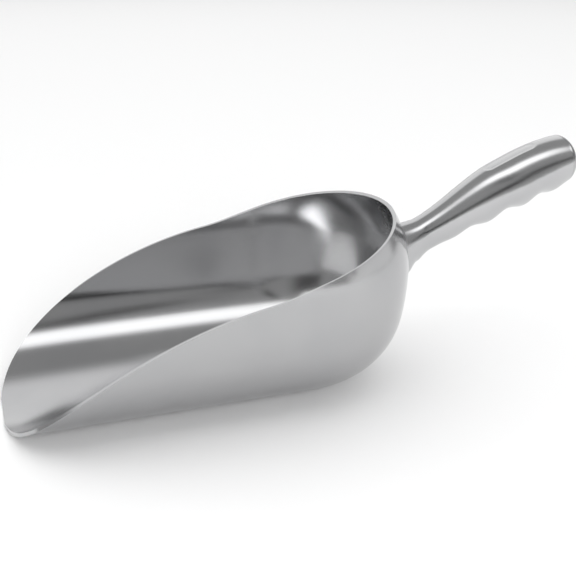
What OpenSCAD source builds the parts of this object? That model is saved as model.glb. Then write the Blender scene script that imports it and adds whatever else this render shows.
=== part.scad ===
// Hand scoop in cast aluminium: a deep round-bellied bowl with a swept rim,
// and a hollow grip with finger grooves, joined to the back of the bowl.
// X runs from the lip to the grip, Z is up, and Y = 0 is the plane of symmetry.

/* [Bowl] */
// Outside width of the bowl at its widest
bowl_w = 128; // [120:1:136]
// Distance from the tip of the lip to the axis that the back wall turns around
trough_len = 155; // [140:1:170]
// Thickness of the bowl's wall
wall = 2.6; // [2:0.2:3.6]
// Radius of the belly under the bowl
belly_r = 102; // [96:1:110]
// Radius between the belly and the side walls
corner_r = 45; // [42:1:48]
// Radius of the side walls below their widest line
side_r = 142; // [136:1:150]
// Angle that the side walls turn through before the corner starts
side_turn = 10; // [8:0.5:12]
// Radius of the side walls above their widest line, where they lean inwards
shoulder_r = 56; // [52:1:62]
// Depth of the flat that the belly rests on
flat_depth = 1; // [0.5:0.1:1.2]

/* [Rim, seen from the side] */
// Slope of the rim where it leaves the lip
lip_slope = 48; // [44:1:52]
// Radius of the rim from the lip upwards
lip_sweep_r = 220; // [205:5:235]
// Slope of the rim at the end of that sweep
mid_slope = 10.5; // [8:0.5:14]
// Radius of the hollow where the rim turns upwards again
dip_r = 127; // [80:1:180]
// Slope of the rim over the back of the bowl
back_slope = 17.5; // [15:0.5:20]

/* [Grip] */
// Angle of the grip above the belly line
grip_angle = 23.1; // [20:0.1:26]
// Length of the grip along its axis, from the bowl to its end
grip_len = 112; // [108:1:118]
// Radius of the grip at its neck
neck_r = 9; // [8:0.25:10]
// How much the top of the grip swells above the neck
swell = 8; // [6:0.5:9]
// Distance between two finger grooves
groove_pitch = 23.3; // [22:0.1:24.5]
// Place of the middle of the second finger groove along the grip
groove_start = 42.5; // [40:0.5:45]
// Rounding of the end of the grip
end_r = 3; // [2:0.5:5]
// Thickness of the cap that closes the end
cap_t = 3; // [2.5:0.5:4]
// Thickness of the grip's wall around its hollow
grip_wall = 2.6; // [2.4:0.2:4]
// Length of the sunk panel on top of the grip
panel_len = 34; // [28:1:40]
// Width of the sunk panel
panel_w = 8; // [6:0.5:10]
// Depth of the sunk panel at its middle line
panel_depth = 0.9; // [0.7:0.1:1.1]

/* [Weld] */
// Throat of the fillet weld between the grip and the bowl
weld_r = 3; // [2:0.5:4]

/* [Hidden] */
$fn = 180;

half_w = bowl_w / 2;

function neat(v) = round(v * 1000) / 1000;

// Centres of the four arcs of the bowl's cross-section
side_y = half_w - side_r;
corner_y = neat(side_y + (side_r - corner_r) * cos(side_turn));
belly_turn = asin(corner_y / (belly_r - corner_r));
corner_z = neat(belly_r - (belly_r - corner_r) * cos(belly_turn));
widest_z = neat(corner_z + (side_r - corner_r) * sin(side_turn));
shoulder_y = half_w - shoulder_r;
shoulder_h = 40;
// The corner is drawn this much fuller, so that its arc crosses its neighbours
tangent_ease = 0.004;

// Ends of the rim's arcs, and the centres that they turn around
sweep_x = lip_sweep_r * (sin(lip_slope) - sin(mid_slope));
sweep_z = lip_sweep_r * (cos(mid_slope) - cos(lip_slope));
dip_x = sweep_x + dip_r * (sin(back_slope) - sin(mid_slope));
dip_z = sweep_z + dip_r * (cos(mid_slope) - cos(back_slope));
sweep_steps = 14;
dip_steps = 3;
// The rim's outline runs this far past the bowl, behind it and below it
rim_margin = 4;
rim_end_x = trough_len + half_w + rim_margin;
rim_end_z = dip_z + (rim_end_x - dip_x) * tan(back_slope);

// Where the grip's axis meets the back wall
root_z = 68;
root_x = trough_len + shoulder_y + sqrt(pow(shoulder_r, 2) - pow(root_z - widest_z, 2));
// The grip starts this far inside the wall and is trimmed by it
root_bury = 14;
// Length over which the root flares into the bowl, and its rise below and above
flare_len = 17;
flare_under = 9;
flare_over = 4.6;
flare_side = 3;
flare_power = 1.6;
// Place where the swell of the grip is full, and how fast its top falls beyond
swell_from = 14;
swell_to = 70;
crown_s = 80;
crown_fall = 0.005;
// How much each side of the grip swells, and how much thinner its neck is below
side_swell = 6.2;
under_ease = 0.1;
// Radius under the grip at the ridges, and its growth along the grip
ridge_r = 11.1;
ridge_s = 19.2;
ridge_growth = 0.047;
// Depth of each finger groove in turn, with the plain end last
groove_depths = [[0, 2.2], [1, 3.4], [2, 2.6], [3, 1.9], [4, 0.6]];
// Slope of the end face against the grip's axis, and where it starts to lean
end_lean = -0.3;
lean_from = 70;
// Distance between rings, points in each ring, and angles of the rounded end
ring_step = 2.4;
ring_sides = 32;
end_angles = [10 : 16 : 90];

// Where the grip's hollow starts, and how much it narrows there
hollow_s = 34;
hollow_nose = 1.8;
// The cap's spigot inside the grip, and its clearance
spigot_len = 5;
spigot_gap = 0.15;
cap_s = grip_len - cap_t;
// Middle of the sunk panel, and the radius that its floor is arched to
panel_s = 80;
panel_arch_r = 131;
panel_cut_h = 30;
// Station that the weld's rings are taken at, how far they start inside the wall
// and how thick their outer edge is
weld_s = 2;
weld_bury = 1.5;
weld_edge = 0.02;
weld_angles = [0 : 15 : 90];

// How far the grip's upper edge reaches past the end of its axis, measured along X
end_reach = 1.4;
overall_end = root_x + grip_len * cos(grip_angle) + end_reach;
centre_x = (flat_depth / tan(lip_slope) + overall_end) / 2;

function smooth(a, b, s) =
    let(t = min(1, max(0, (s - a) / (b - a)))) t * t * (3 - 2 * t);
function flare(s) = pow(max(0, flare_len - max(0, s)) / flare_len, flare_power);

// Grip measured from its axis, at the distance s along it: top, underside and sides
function groove(s) =
    let(turn = (s - groove_start) / groove_pitch)
    lookup(turn + 1, groove_depths) * (1 + cos(360 * turn)) / 2;
function grip_top(s) =
    neck_r + swell * smooth(swell_from, swell_to, s)
    - crown_fall * pow(max(0, s - crown_s), 2) + flare_over * flare(s);
function grip_under(s) =
    let(ridge = ridge_r + ridge_growth * (s - ridge_s) - groove(s))
    let(base = neck_r - under_ease)
    (s < ridge_s - groove_pitch / 2 ? base : max(base, ridge)) + flare_under * flare(s);
function grip_side(s) =
    neck_r + side_swell * smooth(swell_from, crown_s, s) + flare_side * flare(s);

// One ring of points around the grip; the end face leans, so far rings are sheared
function ring(s, inset) =
    let(lean = end_lean * smooth(lean_from, grip_len, s))
    [for (i = [0 : ring_sides - 1])
        let(a = 360 * i / ring_sides)
        let(n = cos(a) * ((cos(a) > 0 ? grip_top(s) : grip_under(s)) - inset))
        let(y = sin(a) * (grip_side(s) - inset))
        [s - lean * n, y, n]];

// Rings from one station to the next, and the rounded end
function body_rings(from, to, inset) =
    let(count = ceil(abs(to - from) / ring_step))
    [for (i = [0 : count]) ring(from + (to - from) * i / count, inset)];
function end_rings(from) =
    [for (a = end_angles)
        let(s = grip_len - end_r + end_r * sin(a))
        if (s > from) ring(s, end_r * (1 - cos(a)))];

// Solid through a row of rings, closed with a flat face at each end
module skin(rings) {
    sides = len(rings[0]);
    last = len(rings) - 1;
    points = [for (r = rings) each r];
    walls = [for (j = [0 : last - 1]) for (i = [0 : sides - 1])
        let(k = (i + 1) % sides)
        each [[(j + 1) * sides + k, (j + 1) * sides + i, j * sides + i],
              [j * sides + k, (j + 1) * sides + k, j * sides + i]]];
    near = [for (i = [sides - 1 : -1 : 0]) i];
    far = [for (i = [0 : sides - 1]) last * sides + i];
    polyhedron(points, concat([near], walls, [far]));
}

// Ring-shaped solid between two matching rows of rings
module tube(outer, inner) {
    sides = len(outer[0]);
    rings = concat(outer, [for (j = [len(inner) - 1 : -1 : 0]) inner[j]]);
    rows = len(rings);
    points = [for (r = rings) each r];
    walls = [for (j = [0 : rows - 1]) for (i = [0 : sides - 1])
        let(k = (i + 1) % sides, m = (j + 1) % rows)
        each [[m * sides + k, m * sides + i, j * sides + i],
              [j * sides + k, m * sides + k, j * sides + i]]];
    polyhedron(points, walls);
}

// Point well outside the bowl, seen from the corner's centre at an angle from straight down
function corner_ray(turn) =
    [corner_y + bowl_w * sin(turn), corner_z - bowl_w * cos(turn)];

// Half of the bowl's cross-section; the inset draws the inside of the wall
module half_section(inset) {
    intersection() {
        translate([0, belly_r])
            circle(belly_r - inset);
        translate([side_y, widest_z])
            circle(side_r - inset);
        translate([0, flat_depth])
            square([half_w + 1, widest_z - flat_depth]);
        union() {
            translate([corner_y, corner_z])
                circle(corner_r + tangent_ease - inset);
            difference() {
                square([half_w + 1, widest_z]);
                polygon([[corner_y, corner_z], corner_ray(belly_turn), corner_ray(45),
                    corner_ray(90 - side_turn)]);
            }
        }
    }
    intersection() {
        translate([shoulder_y, widest_z])
            circle(shoulder_r - inset);
        translate([0, widest_z])
            square([half_w + 1, shoulder_h]);
    }
}

// Trough with its round back, as one solid
module bowl_body(inset) {
    translate([-rim_margin, 0, 0])
        rotate([90, 0, 90])
            linear_extrude(trough_len + rim_margin) {
                half_section(inset);
                mirror([1, 0]) half_section(inset);
            }
    translate([trough_len, 0, 0])
        rotate([0, 0, -90])
            rotate_extrude(angle = 180)
                half_section(inset);
}

// Points along the rim, seen from the side
function sweep_points() =
    [for (i = [0 : sweep_steps])
        let(a = lip_slope + (mid_slope - lip_slope) * i / sweep_steps)
        [lip_sweep_r * (sin(lip_slope) - sin(a)), lip_sweep_r * (cos(a) - cos(lip_slope))]];
function dip_points() =
    [for (i = [1 : dip_steps])
        let(a = mid_slope + (back_slope - mid_slope) * i / dip_steps)
        [sweep_x + dip_r * (sin(a) - sin(mid_slope)),
         sweep_z + dip_r * (cos(mid_slope) - cos(a))]];

// Everything under the rim, seen from the side
module under_rim() {
    polygon(concat(
        [[0, -rim_margin]], sweep_points(), dip_points(),
        [[rim_end_x, rim_end_z], [rim_end_x, -rim_margin]]));
}

// Moves a shape from the trough's own origin to the part's origin
module placed() {
    translate([-centre_x, 0, -flat_depth])
        children();
}

// Moves a shape from the grip's axis, where X runs along the grip
module on_grip() {
    translate([root_x, 0, root_z])
        rotate([0, -grip_angle, 0])
            children();
}

module bowl() {
    color("silver")
        placed()
            intersection() {
                difference() {
                    bowl_body(0);
                    bowl_body(wall);
                }
                rotate([90, 0, 0])
                    linear_extrude(bowl_w + 2 * rim_margin, center = true)
                        under_rim();
            }
}

module panel_cutter() {
    difference() {
        translate([panel_s, 0, 0])
            linear_extrude(panel_cut_h)
                union() {
                    square([panel_len - panel_w, panel_w], center = true);
                    for (side = [-1, 1])
                        translate([side * (panel_len - panel_w) / 2, 0])
                            circle(panel_w / 2);
                }
        translate([crown_s, 0, grip_top(crown_s) - panel_depth - panel_arch_r])
            rotate([90, 0, 0])
                cylinder(r = panel_arch_r, h = panel_cut_h, center = true);
    }
}

module handle() {
    color("gainsboro")
        placed()
            difference() {
                on_grip()
                    difference() {
                        skin(concat(
                            body_rings(-root_bury, cap_s, 0),
                            body_rings(cap_s, hollow_s + grip_wall, grip_wall),
                            [ring(hollow_s, hollow_nose * grip_wall)]));
                        panel_cutter();
                    }
                bowl_body(0);
            }
}

module end_cap() {
    color("lightgray")
        placed()
            on_grip()
                skin(concat(
                    body_rings(cap_s - spigot_len, cap_s, grip_wall + spigot_gap),
                    [ring(cap_s, 0)],
                    end_rings(cap_s)));
}

// Distance along the grip's axis at which a point beside the axis meets the back wall
function wall_s(y, n) =
    let(z = root_z + n * cos(grip_angle))
    let(reach = z > widest_z
        ? shoulder_y + sqrt(pow(shoulder_r, 2) - pow(z - widest_z, 2))
        : side_y + sqrt(pow(side_r, 2) - pow(z - widest_z, 2)))
    let(x = trough_len + sqrt(pow(reach, 2) - y * y))
    (x - root_x + n * sin(grip_angle)) / cos(grip_angle);

function weld_ring(offset, growth) =
    [for (i = [0 : ring_sides - 1])
        let(a = 360 * i / ring_sides)
        let(over = cos(a) > 0)
        let(n0 = cos(a) * (over ? grip_top(weld_s) : grip_under(weld_s)))
        let(s = wall_s(sin(a) * grip_side(weld_s), n0) + offset)
        let(n = cos(a) * ((over ? grip_top(s) : grip_under(s)) + growth))
        [s, sin(a) * (grip_side(s) + growth), n]];

module neck_weld() {
    outer = concat(
        [weld_ring(-weld_bury, weld_r)],
        [for (a = weld_angles)
            weld_ring(weld_r * (1 - cos(a)), weld_r * (1 - sin(a)) + weld_edge)]);
    inner = concat(
        [weld_ring(-weld_bury, 0)],
        [for (a = weld_angles) weld_ring(weld_r * (1 - cos(a)), 0)]);
    color("darkgray")
        placed()
            difference() {
                on_grip() tube(outer, inner);
                bowl_body(0);
            }
}

bowl();
neck_weld();
handle();
end_cap();
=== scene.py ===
# A cast aluminium hand scoop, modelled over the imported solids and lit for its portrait.
import bmesh
import bpy
import math
from mathutils import Matrix, Vector


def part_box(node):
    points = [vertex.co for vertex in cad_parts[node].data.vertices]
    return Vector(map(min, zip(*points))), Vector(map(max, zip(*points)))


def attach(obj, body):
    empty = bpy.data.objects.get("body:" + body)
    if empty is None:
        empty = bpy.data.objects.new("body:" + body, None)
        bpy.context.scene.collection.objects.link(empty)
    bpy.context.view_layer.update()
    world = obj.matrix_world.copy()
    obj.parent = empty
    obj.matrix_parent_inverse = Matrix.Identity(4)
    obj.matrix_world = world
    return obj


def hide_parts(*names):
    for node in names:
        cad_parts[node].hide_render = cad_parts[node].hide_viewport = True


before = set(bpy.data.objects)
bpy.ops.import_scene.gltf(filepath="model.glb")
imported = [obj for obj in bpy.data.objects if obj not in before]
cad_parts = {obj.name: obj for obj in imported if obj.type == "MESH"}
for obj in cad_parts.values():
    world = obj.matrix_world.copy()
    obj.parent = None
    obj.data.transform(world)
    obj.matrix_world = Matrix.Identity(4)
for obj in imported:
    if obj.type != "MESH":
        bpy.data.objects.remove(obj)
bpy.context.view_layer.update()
bowlLow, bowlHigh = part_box("bowl")
print("frame loaded:", sorted(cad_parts))

millimetre = 0.001
hairline = 1e-6                        # two places closer than this are the same
joinWithin = 0.005 * millimetre
rimJoinWithin = 0.002 * millimetre
halvings = 40                          # steps of the search for a height
rimPasses = 12
rootPasses = 10


def deselectAll():
    if bpy.context.object and bpy.context.object.mode != "OBJECT":
        bpy.ops.object.mode_set(mode="OBJECT")
    bpy.ops.object.select_all(action="DESELECT")


def enterEdit(piece):
    deselectAll()
    piece.select_set(True)
    bpy.context.view_layer.objects.active = piece
    bpy.ops.object.mode_set(mode="EDIT")
    bpy.ops.mesh.select_mode(type="VERT")


def leaveEdit():
    bpy.ops.object.mode_set(mode="OBJECT")


def selectVerts(piece, test):
    # picks the vertices whose place passes the test, in edit mode
    mesh = bmesh.from_edit_mesh(piece.data)
    bpy.ops.mesh.select_all(action="DESELECT")
    for vert in mesh.verts:
        vert.select = test(vert.co)
    mesh.select_flush(True)
    bmesh.update_edit_mesh(piece.data)


def slideVerts(piece, place):
    # moves every vertex to the place that the function gives for it
    mesh = bmesh.from_edit_mesh(piece.data)
    for vert in mesh.verts:
        vert.co = place(vert.co)
    bmesh.update_edit_mesh(piece.data)


def closeEnds():
    # fills every open ring and turns all faces outwards
    bpy.ops.mesh.select_all(action="DESELECT")
    bpy.ops.mesh.select_non_manifold(extend=False, use_wire=False, use_boundary=True,
                                     use_multi_face=False, use_non_contiguous=False,
                                     use_verts=False)
    bpy.ops.mesh.edge_face_add()
    bpy.ops.mesh.select_all(action="SELECT")
    bpy.ops.mesh.normals_make_consistent(inside=False)


def addModifier(piece, kind, **settings):
    modifier = piece.modifiers.new(kind.title(), kind)
    for name, value in settings.items():
        setattr(modifier, name, value)
    return modifier


def applyModifiers(piece):
    deselectAll()
    piece.select_set(True)
    bpy.context.view_layer.objects.active = piece
    for modifier in list(piece.modifiers):
        bpy.ops.object.modifier_apply(modifier=modifier.name)


def smoothShade(piece, degrees):
    deselectAll()
    piece.select_set(True)
    bpy.context.view_layer.objects.active = piece
    bpy.ops.object.shade_smooth_by_angle(angle=math.radians(degrees))


def easeBetween(low, high, value):
    t = min(1.0, max(0.0, (value - low) / (high - low)))
    return t * t * (3 - 2 * t)


bowl = {
    "wall": 2.6 * millimetre,
    "rimWall": 1.7 * millimetre,       # the wall gets thinner towards the lip and the rim
    "rimFade": 70 * millimetre,
    "backShare": 0.80,                 # thickness of the rim at the back, as a part of the wall
    "flatDepth": 1.0 * millimetre,
    "tipOverhang": 0.906 * millimetre,   # what the flat takes off the tip of the lip
    "bellyRadius": 102 * millimetre,
    "cornerRadius": 45 * millimetre,
    "sideRadius": 142 * millimetre,
    "shoulderRadius": 56 * millimetre,
    "sideTurn": math.radians(10),
    "shoulderTurn": math.radians(34),
    "lipSlope": math.radians(48),
    "sweepRadius": 220 * millimetre,
    "midSlope": math.radians(10.5),
    "dipRadius": 127 * millimetre,
    "backSlope": math.radians(17.5),
    "bellySteps": 12,
    "cornerSteps": 26,
    "sideSteps": 10,
    "shoulderSteps": 18,
    "heelSteps": 108,
    "troughSteps": 84,
    "lipCrowding": 1.7,                # stations get closer towards the lip
    "rimBevel": 0.5 * millimetre,
    "bevelSteps": 2,
    "bevelProfile": 0.35,
    "bevelAngle": math.radians(50),
    "shadeAngle": 32,
    "skinFrom": 30.0,                  # degrees round the heel where the unpolished skin starts
    "skinFacing": -0.3,                # only where the wall faces the axis of the heel
    "skinFull": 0.0,
    "skinFade": -45.0,
    "skinEnd": -85.0,
    "skinLow": 12 * millimetre,
    "skinHigh": 32 * millimetre,
}
grip = {
    "angle": math.radians(23.1),
    "length": 112 * millimetre,
    "capThickness": 3 * millimetre,
    "neckRadius": 9 * millimetre,
    "swell": 8 * millimetre,
    "pitch": 23.3 * millimetre,
    "firstGroove": 42.5 * millimetre,
    "grooveDepths": [0, 2.2, 3.4, 2.6, 1.9, 0.6, 0.6],
    "ridgeRadius": 11.1 * millimetre,
    "endLean": -0.3,
    "endRound": 2.2 * millimetre,
    "leanFrom": 70 * millimetre,
    "swellFrom": 14 * millimetre,
    "swellTo": 70 * millimetre,
    "crownAt": 80 * millimetre,        # the top is highest here, and falls towards the end
    "crownFall": 5.0,
    "sideSwell": 6.2 * millimetre,
    "underEase": 0.1 * millimetre,
    "ridgeAt": 19.2 * millimetre,
    "ridgeGrowth": 0.047,
    "flareLength": 17 * millimetre,    # the root widens into the bowl over this length
    "flarePower": 1.6,
    "flareOver": 4.6 * millimetre,
    "flareUnder": 9 * millimetre,
    "flareSide": 3 * millimetre,
    "rootHeight": 68 * millimetre,
    "rootBlend": 22 * millimetre,      # the rings lean over to meet the wall along this length
    "sides": 56,
    "shadeAngle": 50,
    "step": 1.5 * millimetre,
    "bury": 1.2 * millimetre,          # how deep the root sits in the bowl's wall
}

halfWidth = (bowlHigh.y - bowlLow.y) / 2
bellyZ = -bowl["flatDepth"]
sideY = halfWidth - bowl["sideRadius"]
cornerY = sideY + (bowl["sideRadius"] - bowl["cornerRadius"]) * math.cos(bowl["sideTurn"])
bellyTurn = math.asin(cornerY / (bowl["bellyRadius"] - bowl["cornerRadius"]))
cornerZ = (bellyZ + bowl["bellyRadius"]
           - (bowl["bellyRadius"] - bowl["cornerRadius"]) * math.cos(bellyTurn))
widestZ = cornerZ + (bowl["sideRadius"] - bowl["cornerRadius"]) * math.sin(bowl["sideTurn"])
shoulderY = halfWidth - bowl["shoulderRadius"]
heelX = bowlHigh.x - halfWidth         # axis that the back wall turns around

# each arc of the section: centre, radius, and its two angles from straight down
sectionArcs = [
    ((0.0, bellyZ + bowl["bellyRadius"]), bowl["bellyRadius"], 0.0, bellyTurn, bowl["bellySteps"]),
    ((cornerY, cornerZ), bowl["cornerRadius"], bellyTurn, math.pi / 2 - bowl["sideTurn"],
     bowl["cornerSteps"]),
    ((sideY, widestZ), bowl["sideRadius"], math.pi / 2 - bowl["sideTurn"], math.pi / 2,
     bowl["sideSteps"]),
    ((shoulderY, widestZ), bowl["shoulderRadius"], math.pi / 2, math.pi / 2 + bowl["shoulderTurn"],
     bowl["shoulderSteps"]),
]


def sectionPoint(along):
    # (distance from the middle plane, height) at that length along the section
    for arc in sectionArcs:
        (y, z), radius, start, end, _ = arc
        length = radius * (end - start)
        if along <= length or arc is sectionArcs[-1]:
            turn = start + along / radius
            return y + radius * math.sin(turn), z - radius * math.cos(turn)
        along -= length


def sectionLength(y, z):
    # length along the section of the point at that angle
    passed = 0.0
    for arc in sectionArcs:
        (arcY, arcZ), radius, start, end, _ = arc
        turn = math.atan2(y - arcY, arcZ - z)
        if turn <= end + hairline or arc is sectionArcs[-1]:
            return passed + radius * max(0.0, turn - start)
        passed += radius * (end - start)


def heightLength(height):
    # length along the section at which it reaches a height
    low, high = 0.0, sectionTotal * 1.2    # a little past the top of the section
    for _ in range(halvings):
        middle = (low + high) / 2
        if sectionPoint(middle)[1] < height:
            low = middle
        else:
            high = middle
    return low


sectionTotal = sum(radius * (end - start) for _, radius, start, end, _ in sectionArcs)
tipX = bowlLow.x - bowl["tipOverhang"]
sweepX = tipX + bowl["sweepRadius"] * (math.sin(bowl["lipSlope"]) - math.sin(bowl["midSlope"]))
sweepZ = bellyZ + bowl["sweepRadius"] * (math.cos(bowl["midSlope"]) - math.cos(bowl["lipSlope"]))
dipX = sweepX + bowl["dipRadius"] * (math.sin(bowl["backSlope"]) - math.sin(bowl["midSlope"]))
dipZ = sweepZ + bowl["dipRadius"] * (math.cos(bowl["midSlope"]) - math.cos(bowl["backSlope"]))


def rimHeight(x):
    if x <= sweepX:
        lean = math.sin(bowl["lipSlope"]) - (x - tipX) / bowl["sweepRadius"]
        return bellyZ + bowl["sweepRadius"] * (math.sqrt(1 - lean * lean) - math.cos(bowl["lipSlope"]))
    if x <= dipX:
        lean = math.sin(bowl["midSlope"]) + (x - sweepX) / bowl["dipRadius"]
        return sweepZ + bowl["dipRadius"] * (math.cos(bowl["midSlope"]) - math.sqrt(1 - lean * lean))
    return dipZ + (x - dipX) * math.tan(bowl["backSlope"])


def rimLength(x, turn):
    # section length at the rim; turn is None on the trough, or the angle round the heel
    if turn is None:
        return heightLength(rimHeight(x))
    reach = halfWidth
    for _ in range(rimPasses):
        along = heightLength(rimHeight(heelX + reach * math.cos(turn)))
        reach = sectionPoint(along)[0]
    return along


def makeBowl():
    # one vertex under the heel is spun into half of the section, arc by arc
    deselectAll()
    bpy.ops.mesh.primitive_plane_add(size=millimetre, location=(heelX, 0, bellyZ))
    piece = bpy.context.object
    piece.name = "scoopBowl"
    piece.data.name = "scoopBowl"
    bpy.ops.object.transform_apply(location=True, rotation=True, scale=True)
    enterEdit(piece)
    bpy.ops.mesh.select_all(action="SELECT")
    bpy.ops.mesh.merge(type="CENTER")
    for (y, z), radius, start, end, steps in sectionArcs:
        bpy.ops.mesh.spin(steps=steps, angle=end - start, center=(heelX, y, z), axis=(-1, 0, 0))
    # the whole section turns half round for the heel
    bpy.ops.mesh.select_all(action="SELECT")
    bpy.ops.mesh.spin(steps=bowl["heelSteps"], angle=math.pi, center=(heelX, 0, 0), axis=(0, 0, 1))
    # and is drawn out to the lip, station by station
    selectVerts(piece, lambda place: abs(place.x - heelX) < hairline)
    troughLength = heelX - bowlLow.x
    last = 0.0
    for station in range(1, bowl["troughSteps"] + 1):
        share = 1 - station / bowl["troughSteps"]
        reach = troughLength * (1 - share ** bowl["lipCrowding"])
        bpy.ops.mesh.extrude_region_move(TRANSFORM_OT_translate={"value": (last - reach, 0, 0)})
        last = reach
    bpy.ops.mesh.select_all(action="SELECT")
    bpy.ops.mesh.remove_doubles(threshold=joinWithin)

    rims = {}

    def underRim(place):
        # slides a vertex down the section, so that the top row lies on the rim
        onTrough = place.x < heelX + hairline
        reach = abs(place.y) if onTrough else math.hypot(place.x - heelX, place.y)
        turn = None if onTrough else math.atan2(abs(place.y), place.x - heelX)
        key = ("station", round(place.x, 6)) if onTrough else ("turn", round(turn, 4))
        if key not in rims:
            rims[key] = rimLength(place.x, turn)
        along = sectionLength(reach, place.z) * rims[key] / sectionTotal
        y, z = sectionPoint(along)
        side = math.copysign(1, place.y)
        if onTrough:
            return Vector((place.x, side * y, z))
        return Vector((heelX + y * math.cos(turn), side * y * math.sin(turn), z))

    slideVerts(piece, underRim)
    bpy.ops.mesh.select_all(action="SELECT")
    bpy.ops.mesh.remove_doubles(threshold=rimJoinWithin)
    bpy.ops.mesh.normals_make_consistent(inside=False)
    leaveEdit()
    # a smooth bowl opens upwards, so its outside has to face down at the belly
    under = min(piece.data.polygons, key=lambda face: face.center.z)
    if under.normal.z > 0:
        piece.data.flip_normals()

    # the wall thins towards the rim, less so at the back
    thickness = piece.vertex_groups.new(name="wallThickness")
    for vert in piece.data.vertices:
        below = rimHeight(vert.co.x) - vert.co.z
        back = easeBetween(0.0, bowlHigh.x, vert.co.x)
        rimShare = bowl["rimWall"] / bowl["wall"]
        rimShare += (bowl["backShare"] - rimShare) * back
        share = rimShare + (1 - rimShare) * easeBetween(0, bowl["rimFade"], below)
        thickness.add([vert.index], share, "REPLACE")
    addModifier(piece, "SOLIDIFY", thickness=bowl["wall"], offset=-1.0, use_even_offset=True,
                vertex_group="wallThickness")
    applyModifiers(piece)
    enterEdit(piece)
    # the belly is ground flat where it rests
    selectVerts(piece, lambda place: place.z < 0)
    bpy.ops.transform.resize(value=(1, 1, 0), center_override=(0, 0, 0))
    leaveEdit()
    addModifier(piece, "BEVEL", width=bowl["rimBevel"], segments=bowl["bevelSteps"],
                profile=bowl["bevelProfile"], limit_method="ANGLE",
                angle_limit=bowl["bevelAngle"], harden_normals=False)
    applyModifiers(piece)
    smoothShade(piece, bowl["shadeAngle"])
    markCastSkin(piece)
    return piece


def markCastSkin(piece):
    # deep inside the back wall, on one side, the polishing wheel has not reached the cast skin
    skin = piece.data.attributes.new("castSkin", "FLOAT", "POINT")
    for vert in piece.data.vertices:
        outwards = Vector((vert.co.x - heelX, vert.co.y, 0))
        turn = math.degrees(math.atan2(vert.co.y, vert.co.x - heelX))
        amount = 0.0
        if vert.co.x > heelX and vert.normal.dot(outwards.normalized()) < bowl["skinFacing"]:
            amount = easeBetween(bowl["skinFrom"], bowl["skinFull"], turn)
            amount *= easeBetween(bowl["skinEnd"], bowl["skinFade"], turn)
            amount *= easeBetween(bowl["skinLow"], bowl["skinHigh"], vert.co.z)
        skin.data[vert.index].value = amount


rootX = heelX + shoulderY + math.sqrt(
    bowl["shoulderRadius"] ** 2 - (grip["rootHeight"] + bellyZ - widestZ) ** 2)
rootZ = grip["rootHeight"] + bellyZ
gripPlace = Matrix.Translation((rootX, 0, rootZ)) @ Matrix.Rotation(-grip["angle"], 4, "Y")
capStart = grip["length"] - grip["capThickness"]


def rootFlare(along):
    left = max(0.0, grip["flareLength"] - max(0.0, along))
    return (left / grip["flareLength"]) ** grip["flarePower"]


def gripTop(along):
    droop = grip["crownFall"] * max(0.0, along - grip["crownAt"]) ** 2
    rise = grip["swell"] * easeBetween(grip["swellFrom"], grip["swellTo"], along)
    return grip["neckRadius"] + rise - droop + grip["flareOver"] * rootFlare(along)


def gripUnder(along):
    turn = (along - grip["firstGroove"]) / grip["pitch"]
    depths = grip["grooveDepths"]
    slot = min(max(turn + 1, 0.0), len(depths) - 2)
    depth = depths[int(slot)] + (depths[int(slot) + 1] - depths[int(slot)]) * (slot - int(slot))
    groove = depth * millimetre * (1 + math.cos(2 * math.pi * turn)) / 2
    body = grip["neckRadius"] - grip["underEase"]
    if along >= grip["ridgeAt"] - grip["pitch"] / 2:
        ridge = grip["ridgeRadius"] + grip["ridgeGrowth"] * (along - grip["ridgeAt"])
        body = max(body, ridge - groove)
    return body + grip["flareUnder"] * rootFlare(along)


def gripSide(along):
    rise = grip["sideSwell"] * easeBetween(grip["swellFrom"], grip["crownAt"], along)
    return grip["neckRadius"] + rise + grip["flareSide"] * rootFlare(along)


def gripPoint(along, turn, grow=0.0):
    # point on the grip in its own frame; turn is 0 on top and grows towards +Y
    over = gripTop(along) if math.cos(turn) > 0 else gripUnder(along)
    n = math.cos(turn) * (over + grow)
    lean = grip["endLean"] * easeBetween(grip["leanFrom"], grip["length"], along)
    return Vector((along - lean * n, math.sin(turn) * (gripSide(along) + grow), n))


def wallAlong(y, n):
    # length along the grip at which a line beside its axis meets the back wall
    z = rootZ + n * math.cos(grip["angle"])
    if z > widestZ:
        reach = shoulderY + math.sqrt(bowl["shoulderRadius"] ** 2 - (z - widestZ) ** 2)
    else:
        reach = sideY + math.sqrt(bowl["sideRadius"] ** 2 - (z - widestZ) ** 2)
    x = heelX + math.sqrt(reach ** 2 - y * y)
    return (x - rootX + n * math.sin(grip["angle"])) / math.cos(grip["angle"])


def rootAlong(turn):
    # length along the grip at which its own skin meets the wall
    along = 0.0
    for _ in range(rootPasses):
        point = gripPoint(along, turn)
        along = wallAlong(point.y, point.z)
    return along


def startRing(name, sides, along):
    # a ring round the grip's axis, in the grip's own frame
    deselectAll()
    bpy.ops.mesh.primitive_circle_add(vertices=sides, radius=1.0, fill_type="NOTHING",
                                      location=(along, 0, 0), rotation=(0, math.pi / 2, 0))
    piece = bpy.context.object
    piece.name = name
    piece.data.name = name
    bpy.ops.object.transform_apply(location=True, rotation=True, scale=True)
    return piece


def ringTurn(place):
    return math.atan2(place.y, place.z)


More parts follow.
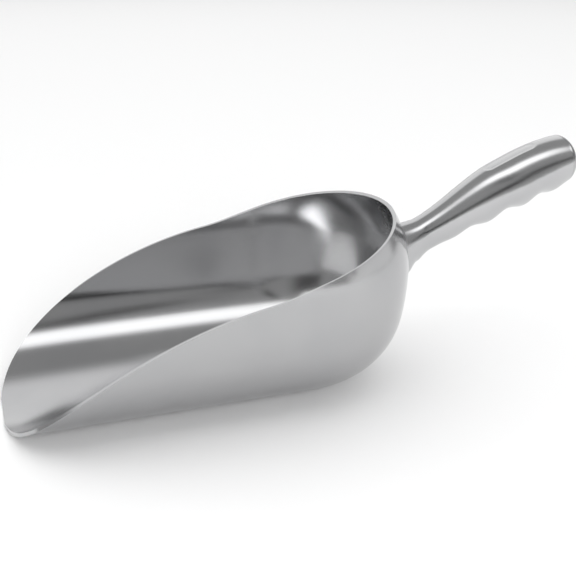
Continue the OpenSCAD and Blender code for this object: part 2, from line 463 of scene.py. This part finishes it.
def makeHandle():
    piece = startRing("gripHandle", grip["sides"], 0.0)
    enterEdit(piece)
    bpy.ops.mesh.select_all(action="SELECT")
    rings = round(capStart / grip["step"])
    for _ in range(rings):
        bpy.ops.mesh.extrude_region_move(TRANSFORM_OT_translate={"value": (capStart / rings, 0, 0)})
    roots = {}
    blend = grip["rootBlend"]

    def onSkin(place):
        turn = ringTurn(place)
        key = round(turn, 4)
        if key not in roots:
            roots[key] = rootAlong(turn) - grip["bury"]
        along = place.x
        if along < blend:
            share = along / blend
            along = roots[key] + (blend - roots[key]) * share
        return gripPoint(along, turn)

    slideVerts(piece, onSkin)
    bpy.ops.mesh.select_all(action="SELECT")
    bpy.ops.mesh.normals_make_consistent(inside=False)
    leaveEdit()
    addModifier(piece, "SUBSURF", levels=1, render_levels=1, use_limit_surface=False)
    applyModifiers(piece)
    enterEdit(piece)
    closeEnds()
    sinkPanel(piece)
    leaveEdit()
    piece.data.transform(gripPlace)
    smoothShade(piece, grip["shadeAngle"])
    return piece


panel = {
    "middle": 80 * millimetre,
    "length": 34 * millimetre,
    "width": 8 * millimetre,
    "depth": 0.6 * millimetre,
    "edge": 0.8 * millimetre,
}


def sinkPanel(piece):
    straight = (panel["length"] - panel["width"]) / 2

    def lower(place):
        if place.z <= 0:
            return place
        across = math.hypot(max(0.0, abs(place.x - panel["middle"]) - straight), place.y)
        inside = easeBetween(0, panel["edge"], panel["width"] / 2 - across)
        return place - Vector((0, 0, panel["depth"] * inside))

    slideVerts(piece, lower)


cap = {
    "seam": [(0.0, 0.35), (0.35, 0.0), (0.8, 0.0)],    # millimetres along the axis, and inwards
    "roundSteps": 8,
    "crown": [4.5, 7.5, 10.5],         # rings of the low crown, in millimetres inwards
    "crownFrom": 2,
    "crownRise": 0.02,
    "shadeAngle": 60,
}


def makeCap():
    piece = startRing("gripEndCap", grip["sides"], capStart)
    enterEdit(piece)
    bpy.ops.mesh.select_all(action="SELECT")
    # along the axis and inwards: a fine seam, the rim of the cap, its rounding, and a low crown
    stations = list(cap["seam"])
    roundFrom = grip["length"] - grip["endRound"]
    for step in range(cap["roundSteps"] + 1):
        turn = math.pi / 2 * step / cap["roundSteps"]
        stations.append(((roundFrom - capStart + grip["endRound"] * math.sin(turn)) / millimetre,
                         grip["endRound"] * (1 - math.cos(turn)) / millimetre))
    for inwards in cap["crown"]:
        rise = cap["crownRise"] * (inwards - cap["crownFrom"])
        stations.append((grip["capThickness"] / millimetre + rise, inwards))
    marks = {}
    for number, (ahead, inwards) in enumerate(stations):
        if number:
            bpy.ops.mesh.extrude_region_move(TRANSFORM_OT_translate={"value": (millimetre, 0, 0)})
        marks[number] = (ahead * millimetre, inwards * millimetre)

    def onCap(place):
        ahead, inwards = marks[round((place.x - capStart) / millimetre)]
        return gripPoint(capStart + ahead, ringTurn(place), -inwards)

    slideVerts(piece, onCap)
    bpy.ops.mesh.select_all(action="SELECT")
    bpy.ops.mesh.normals_make_consistent(inside=False)
    leaveEdit()
    addModifier(piece, "SUBSURF", levels=1, render_levels=1, use_limit_surface=False)
    applyModifiers(piece)
    enterEdit(piece)
    closeEnds()
    leaveEdit()
    piece.data.transform(gripPlace)
    smoothShade(piece, cap["shadeAngle"])
    return piece


weld = {
    "leg": 2.6 * millimetre,
    "sides": 96,
    "around": 14,
    "tube": 0.2,
    "bulge": 0.25,
    "hollow": 0.35,                    # how far the skin sinks between its two legs
    "lap": 0.3,                        # radians past each leg that still lie on its end
    "buried": 0.6 * millimetre,
    "buriedShare": 0.9,
    "shadeAngle": 60,
}


def makeWeld():
    # a ring bent into a hollow fillet between wall and grip
    deselectAll()
    bpy.ops.mesh.primitive_torus_add(major_segments=weld["sides"], minor_segments=weld["around"],
                                     major_radius=1.0, minor_radius=weld["tube"],
                                     location=(0, 0, 0), rotation=(0, math.pi / 2, 0))
    piece = bpy.context.object
    piece.name = "neckWeld"
    piece.data.name = "neckWeld"
    bpy.ops.object.transform_apply(location=True, rotation=True, scale=True)
    enterEdit(piece)

    def onFillet(place):
        turn = ringTurn(place)
        ring = math.hypot(place.y, place.z) - 1.0
        around = math.atan2(place.x, ring)      # 0 away from the grip, a quarter turn towards its end
        root = rootAlong(turn)
        foot = gripPoint(root, turn)
        up = gripPoint(root + weld["leg"], turn)
        outer = gripPoint(root, turn, weld["leg"])
        outer.x = wallAlong(outer.y, outer.z)
        alongWall, alongGrip = outer - foot, up - foot
        # the visible side is a hollow quarter between the two legs, the rest stays buried
        if -weld["lap"] <= around <= math.pi / 2 + weld["lap"]:
            share = min(1.0, max(0.0, around / (math.pi / 2)))
            sink = (1 - weld["bulge"]) * math.sin(math.pi * share) * weld["hollow"]
            return foot + alongWall * (1 - share - sink) + alongGrip * (share - sink)
        buried = weld["buried"]
        depth = Vector((-buried, 0, 0)) - (gripPoint(root, turn, 1.0) - foot) * buried
        reach = max(0.0, math.cos(around)) * weld["buriedShare"]
        rise = max(0.0, math.sin(around)) * weld["buriedShare"]
        return foot + depth + alongWall * reach + alongGrip * rise

    slideVerts(piece, onFillet)
    bpy.ops.mesh.select_all(action="SELECT")
    bpy.ops.mesh.normals_make_consistent(inside=False)
    leaveEdit()
    piece.data.transform(gripPlace)
    smoothShade(piece, weld["shadeAngle"])
    return piece


scoopBowl = makeBowl()
print("bowl made:", len(scoopBowl.data.polygons), "faces")
gripHandle = makeHandle()
print("grip made:", len(gripHandle.data.polygons), "faces")
gripEndCap = makeCap()
neckWeld = makeWeld()
print("cap and weld made")


class Wire:
    # one socket of a shader tree, so that shader maths reads as ordinary sums
    def __init__(self, tree, socket):
        self.tree = tree
        self.socket = socket

    def maths(self, operation, other, flipped=False):
        first, second = (other, self) if flipped else (self, other)
        return self.tree.add("ShaderNodeMath", {"operation": operation}, [first, second])

    def __add__(self, other):
        return self.maths("ADD", other)

    __radd__ = __add__

    def __mul__(self, other):
        return self.maths("MULTIPLY", other)

    __rmul__ = __mul__

    def __sub__(self, other):
        return self.maths("SUBTRACT", other)

    def __rsub__(self, other):
        return self.maths("SUBTRACT", other, flipped=True)


class Tree:
    def __init__(self, name):
        self.material = bpy.data.materials.new(name)
        self.material.use_nodes = True
        self.nodes = self.material.node_tree.nodes
        self.links = self.material.node_tree.links
        self.nodes.clear()

    def add(self, kind, settings=None, inputs=None, output=0):
        # adds a node: its settings first, then the values or links of its sockets
        node = self.nodes.new(kind)
        for name, value in (settings or {}).items():
            setattr(node, name, value)
        pairs = inputs.items() if isinstance(inputs, dict) else enumerate(inputs or [])
        for name, value in pairs:
            if isinstance(value, Wire):
                self.links.new(value.socket, node.inputs[name])
            elif value is not None:
                node.inputs[name].default_value = value
        return Wire(self, node.outputs[output]) if node.outputs else None

    def finish(self, shader):
        self.add("ShaderNodeOutputMaterial", None, {"Surface": shader})
        return self.material


def easeMask(tree, value, low, high):
    return tree.add("ShaderNodeMapRange", {"interpolation_type": "SMOOTHSTEP", "clamp": True},
                    {"Value": value, "From Min": low, "From Max": high, "To Min": 0.0, "To Max": 1.0})


def noise(tree, place, scale, detail, roughness):
    return tree.add("ShaderNodeTexNoise", None,
                    {"Vector": place, "Scale": scale, "Detail": detail, "Roughness": roughness},
                    "Fac")


def castAluminium(name, look):
    tree = Tree(name)
    place = tree.add("ShaderNodeTexCoord", None, None, "Object")
    lined = tree.add("ShaderNodeMapping", {"vector_type": "POINT"},
                     {"Vector": place, "Rotation": look["grainTurn"], "Scale": look["grainScale"]})
    cloud = noise(tree, place, look["cloudScale"], 4.0, 0.55)
    smear = noise(tree, lined, 1.0, 5.0, 0.6)
    grit = noise(tree, place, look["gritScale"], 2.0, 0.5)
    skin = tree.add("ShaderNodeAttribute", {"attribute_name": "castSkin"}, None, "Fac")
    mottle = noise(tree, place, look["mottleScale"], 3.0, 0.6)
    unpolished = skin * easeMask(tree, mottle, *look["mottleRange"])
    rough = (look["roughness"] + (cloud - 0.5) * look["cloudiness"] + (smear - 0.5) * look["smearing"]
             + unpolished * look["skinRoughness"])
    tint = tree.add("ShaderNodeMix", {"data_type": "RGBA"},
                    {"Factor": easeMask(tree, cloud, *look["cloudRange"]),
                     "A": look["dark"], "B": look["light"]}, 2)
    height = (smear * look["grainHeight"] + grit * look["gritHeight"]
              + skin * mottle * look["skinHeight"])
    bump = tree.add("ShaderNodeBump", None,
                    {"Strength": 1.0, "Distance": millimetre, "Height": height}, "Normal")
    shader = tree.add("ShaderNodeBsdfPrincipled", None,
                      {"Base Color": tint, "Metallic": 1.0, "Roughness": rough, "Normal": bump})
    return tree.finish(shader)


polishedLook = {
    "roughness": 0.17,
    "cloudiness": 0.05,                # how much the roughness drifts from place to place
    "cloudScale": 22.0,
    "cloudRange": (0.3, 0.7),
    "smearing": 0.05,
    "dark": (0.45, 0.452, 0.46, 1),
    "light": (0.478, 0.479, 0.484, 1),
    "grainTurn": (0, 0, 0),
    "grainScale": (18, 700, 700),
    "grainHeight": 0.010,
    "gritHeight": 0.004,
    "gritScale": 1900.0,
    "mottleScale": 420.0,
    "mottleRange": (0.35, 0.68),
    "skinHeight": 0.05,
    "skinRoughness": 0.13,
}
gripLook = dict(polishedLook, grainTurn=(0, grip["angle"], 0), roughness=0.21,
                dark=(0.50, 0.502, 0.51, 1), light=(0.54, 0.541, 0.546, 1))
weldLook = dict(polishedLook, roughness=0.3, grainScale=(300, 300, 300), gritHeight=0.03)
capLook = dict(polishedLook, roughness=0.24, grainScale=(300, 90, 90), gritHeight=0.008)


def dress(piece, material, slotName, *nodes):
    piece.data.materials.clear()
    piece.data.materials.append(material)
    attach(piece, "root")
    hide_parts(*nodes)


dress(scoopBowl, castAluminium("polishedBowl", polishedLook), "cast_bowl", "bowl")
dress(gripHandle, castAluminium("polishedGrip", gripLook), "cast_grip", "handle")
dress(gripEndCap, castAluminium("satinCap", capLook), "cap", "end_cap")
dress(neckWeld, castAluminium("dressedWeld", weldLook), "weld", "neck_weld")
print("materials set")


studio = {
    "floorSize": 12.0,
    "floorColour": (0.93, 0.93, 0.93, 1),
    "floorRoughness": 0.85,
    "floorGloss": 0.2,
    "speckleScale": 60.0,
    "speckleStrength": 0.1,
    "worldGrey": 0.40,
}


def plainSurface(name, colour):
    tree = Tree(name)
    place = tree.add("ShaderNodeTexCoord", None, None, "Object")
    speckle = noise(tree, place, studio["speckleScale"], 2.0, 0.5)
    bump = tree.add("ShaderNodeBump", None,
                    {"Strength": studio["speckleStrength"], "Distance": millimetre,
                     "Height": speckle}, "Normal")
    return tree.finish(tree.add("ShaderNodeBsdfPrincipled", None,
                                {"Base Color": colour, "Roughness": studio["floorRoughness"],
                                 "Normal": bump, "Specular IOR Level": studio["floorGloss"]}))


def glowingCard(name, glow, dim, edge):
    # a light panel that is bright in its middle and fades to dim towards its edges
    tree = Tree(name)
    spread = tree.add("ShaderNodeTexCoord", None, None, "UV")
    fade = 1.0
    for side in ("X", "Y"):
        across = tree.add("ShaderNodeSeparateXYZ", None, {"Vector": spread}, side)
        fromMiddle = tree.add("ShaderNodeMath", {"operation": "ABSOLUTE"}, [across - 0.5]) * 2.0
        fade = fade * (1 - easeMask(tree, fromMiddle, edge, 1.0))
    faint = tree.add("ShaderNodeEmission", None, {"Color": (1, 1, 1, 1), "Strength": dim})
    full = tree.add("ShaderNodeEmission", None, {"Color": (1, 1, 1, 1), "Strength": glow})
    return tree.finish(tree.add("ShaderNodeMixShader", None, [fade, faint, full]))


# flat panels seen only in reflections; roll is in degrees, and edge is where the fading starts
cards = {
    "stripLight": {"size": (1.55, 0.84), "place": (0.12, -0.62, 1.40),
                   "target": (0.12, -0.6201, 0), "glow": 2.3, "edge": 0.35, "roll": 0},
    "frontDark": {"size": (2.9, 2.4), "place": (-1.95, -1.9, 1.25),
                  "target": (-1.95, 0, 1.25), "glow": 0.10, "edge": 0.35, "roll": 0},
    "cornerDark": {"size": (1.9, 0.55), "place": (0.12, -1.9, 1.9),
                   "target": (0.12, 0, 1.9), "glow": 0.08, "edge": 0.2, "roll": 62},
    "gripDark": {"size": (1.8, 0.42), "place": (1.10, -1.9, 0.85),
                 "target": (1.10, 0, 0.85), "glow": 0.03, "edge": 0.3, "roll": 30},
    "neckDark": {"size": (1.9, 0.44), "place": (0.50, -1.92, 0.64),
                 "target": (0.50, 0, 0.64), "glow": 0.0, "edge": 0.5, "roll": -30},
    "sideFront": {"size": (3.6, 0.8), "place": (2.3, -1.0, 0.30),
                  "target": (0, 0, 0.1), "glow": 1.0, "edge": 0.6, "roll": 0},
    "backCard": {"size": (11.0, 3.3), "place": (0.0, 2.2, 1.55),
                 "target": (0, 0, 1.0), "glow": 1.12, "edge": 0.55, "roll": 0},
    "sideCard": {"size": (2.0, 0.80), "place": (-1.5, -0.45, 1.42),
                 "target": (0, 0, 0.1), "glow": 6.0, "edge": 0.5, "roll": -28},
}


def hangCard(name, panelSet):
    # faces the panel's front towards its target
    deselectAll()
    place = Vector(panelSet["place"])
    facing = (Vector(panelSet["target"]) - place).to_track_quat("Z", "Y").to_matrix()
    facing = (facing @ Matrix.Rotation(math.radians(panelSet["roll"]), 3, "Z")).to_euler()
    bpy.ops.mesh.primitive_plane_add(size=1.0, location=place, rotation=facing)
    piece = bpy.context.object
    piece.name = name
    piece.scale = (*panelSet["size"], 1)
    bpy.ops.object.transform_apply(location=True, rotation=True, scale=True)
    piece.data.materials.append(
        glowingCard(name, panelSet["glow"], studio["worldGrey"], panelSet["edge"]))
    piece.visible_camera = False
    piece.visible_shadow = False
    piece.visible_diffuse = False


deselectAll()
bpy.ops.mesh.primitive_plane_add(size=studio["floorSize"], location=(0, 0, 0))
floorSheet = bpy.context.object
floorSheet.name = "studioFloor"
floorSheet.data.materials.append(plainSurface("paleFloor", studio["floorColour"]))

for cardName, cardSet in cards.items():
    hangCard(cardName, cardSet)

world = bpy.data.worlds.new("studioWorld")
bpy.context.scene.world = world
world.use_nodes = True
background = world.node_tree.nodes["Background"]
background.inputs["Color"].default_value = (1, 1, 1, 1)
background.inputs["Strength"].default_value = studio["worldGrey"]


# soft lights for the floor, hidden from reflections
lamps = {
    "topLamp": {"place": (0, 1.5, 3.5), "target": (0, 1.5001, 0), "size": (7.0, 7.0),
                "power": 150.0},
    "fillLamp": {"place": (0.1, -2.4, 1.1), "target": (0, -0.1, 0), "size": (2.0, 1.2),
                 "power": 42.0},
}


def hangLamp(name, lampSet):
    data = bpy.data.lights.new(name, "AREA")
    data.shape = "RECTANGLE"
    data.size, data.size_y = lampSet["size"]
    data.energy = lampSet["power"]
    lamp = bpy.data.objects.new(name, data)
    place = Vector(lampSet["place"])
    lamp.location = place
    lamp.rotation_euler = (Vector(lampSet["target"]) - place).to_track_quat("-Z", "Y").to_euler()
    lamp.visible_glossy = False
    bpy.context.scene.collection.objects.link(lamp)


for lampName, lampSet in lamps.items():
    hangLamp(lampName, lampSet)

portrait = {
    "place": (-0.58 * millimetre, -426.59 * millimetre, 234.0 * millimetre),
    "right": (0.9413, -0.3373, 0.0122),
    "up": (0.1157, 0.3564, 0.9271),
    "lens": 56.28,
    "sensor": 36.0,
    "nearest": 0.01,
}
cameraData = bpy.data.cameras.new("portraitCamera")
cameraData.lens = portrait["lens"]
cameraData.sensor_width = portrait["sensor"]
cameraData.clip_start = portrait["nearest"]
camera = bpy.data.objects.new("portraitCamera", cameraData)
right, up = Vector(portrait["right"]).normalized(), Vector(portrait["up"])
back = right.cross(up).normalized()
up = back.cross(right)
turned = Matrix((right, up, back)).transposed().to_4x4()
cameraPlace = Vector(portrait["place"]) + Vector((tipX, 0, bellyZ))
camera.matrix_world = Matrix.Translation(cameraPlace) @ turned
bpy.context.scene.collection.objects.link(camera)
bpy.context.scene.camera = camera
bpy.context.scene.view_settings.view_transform = "Standard"
print("studio set")
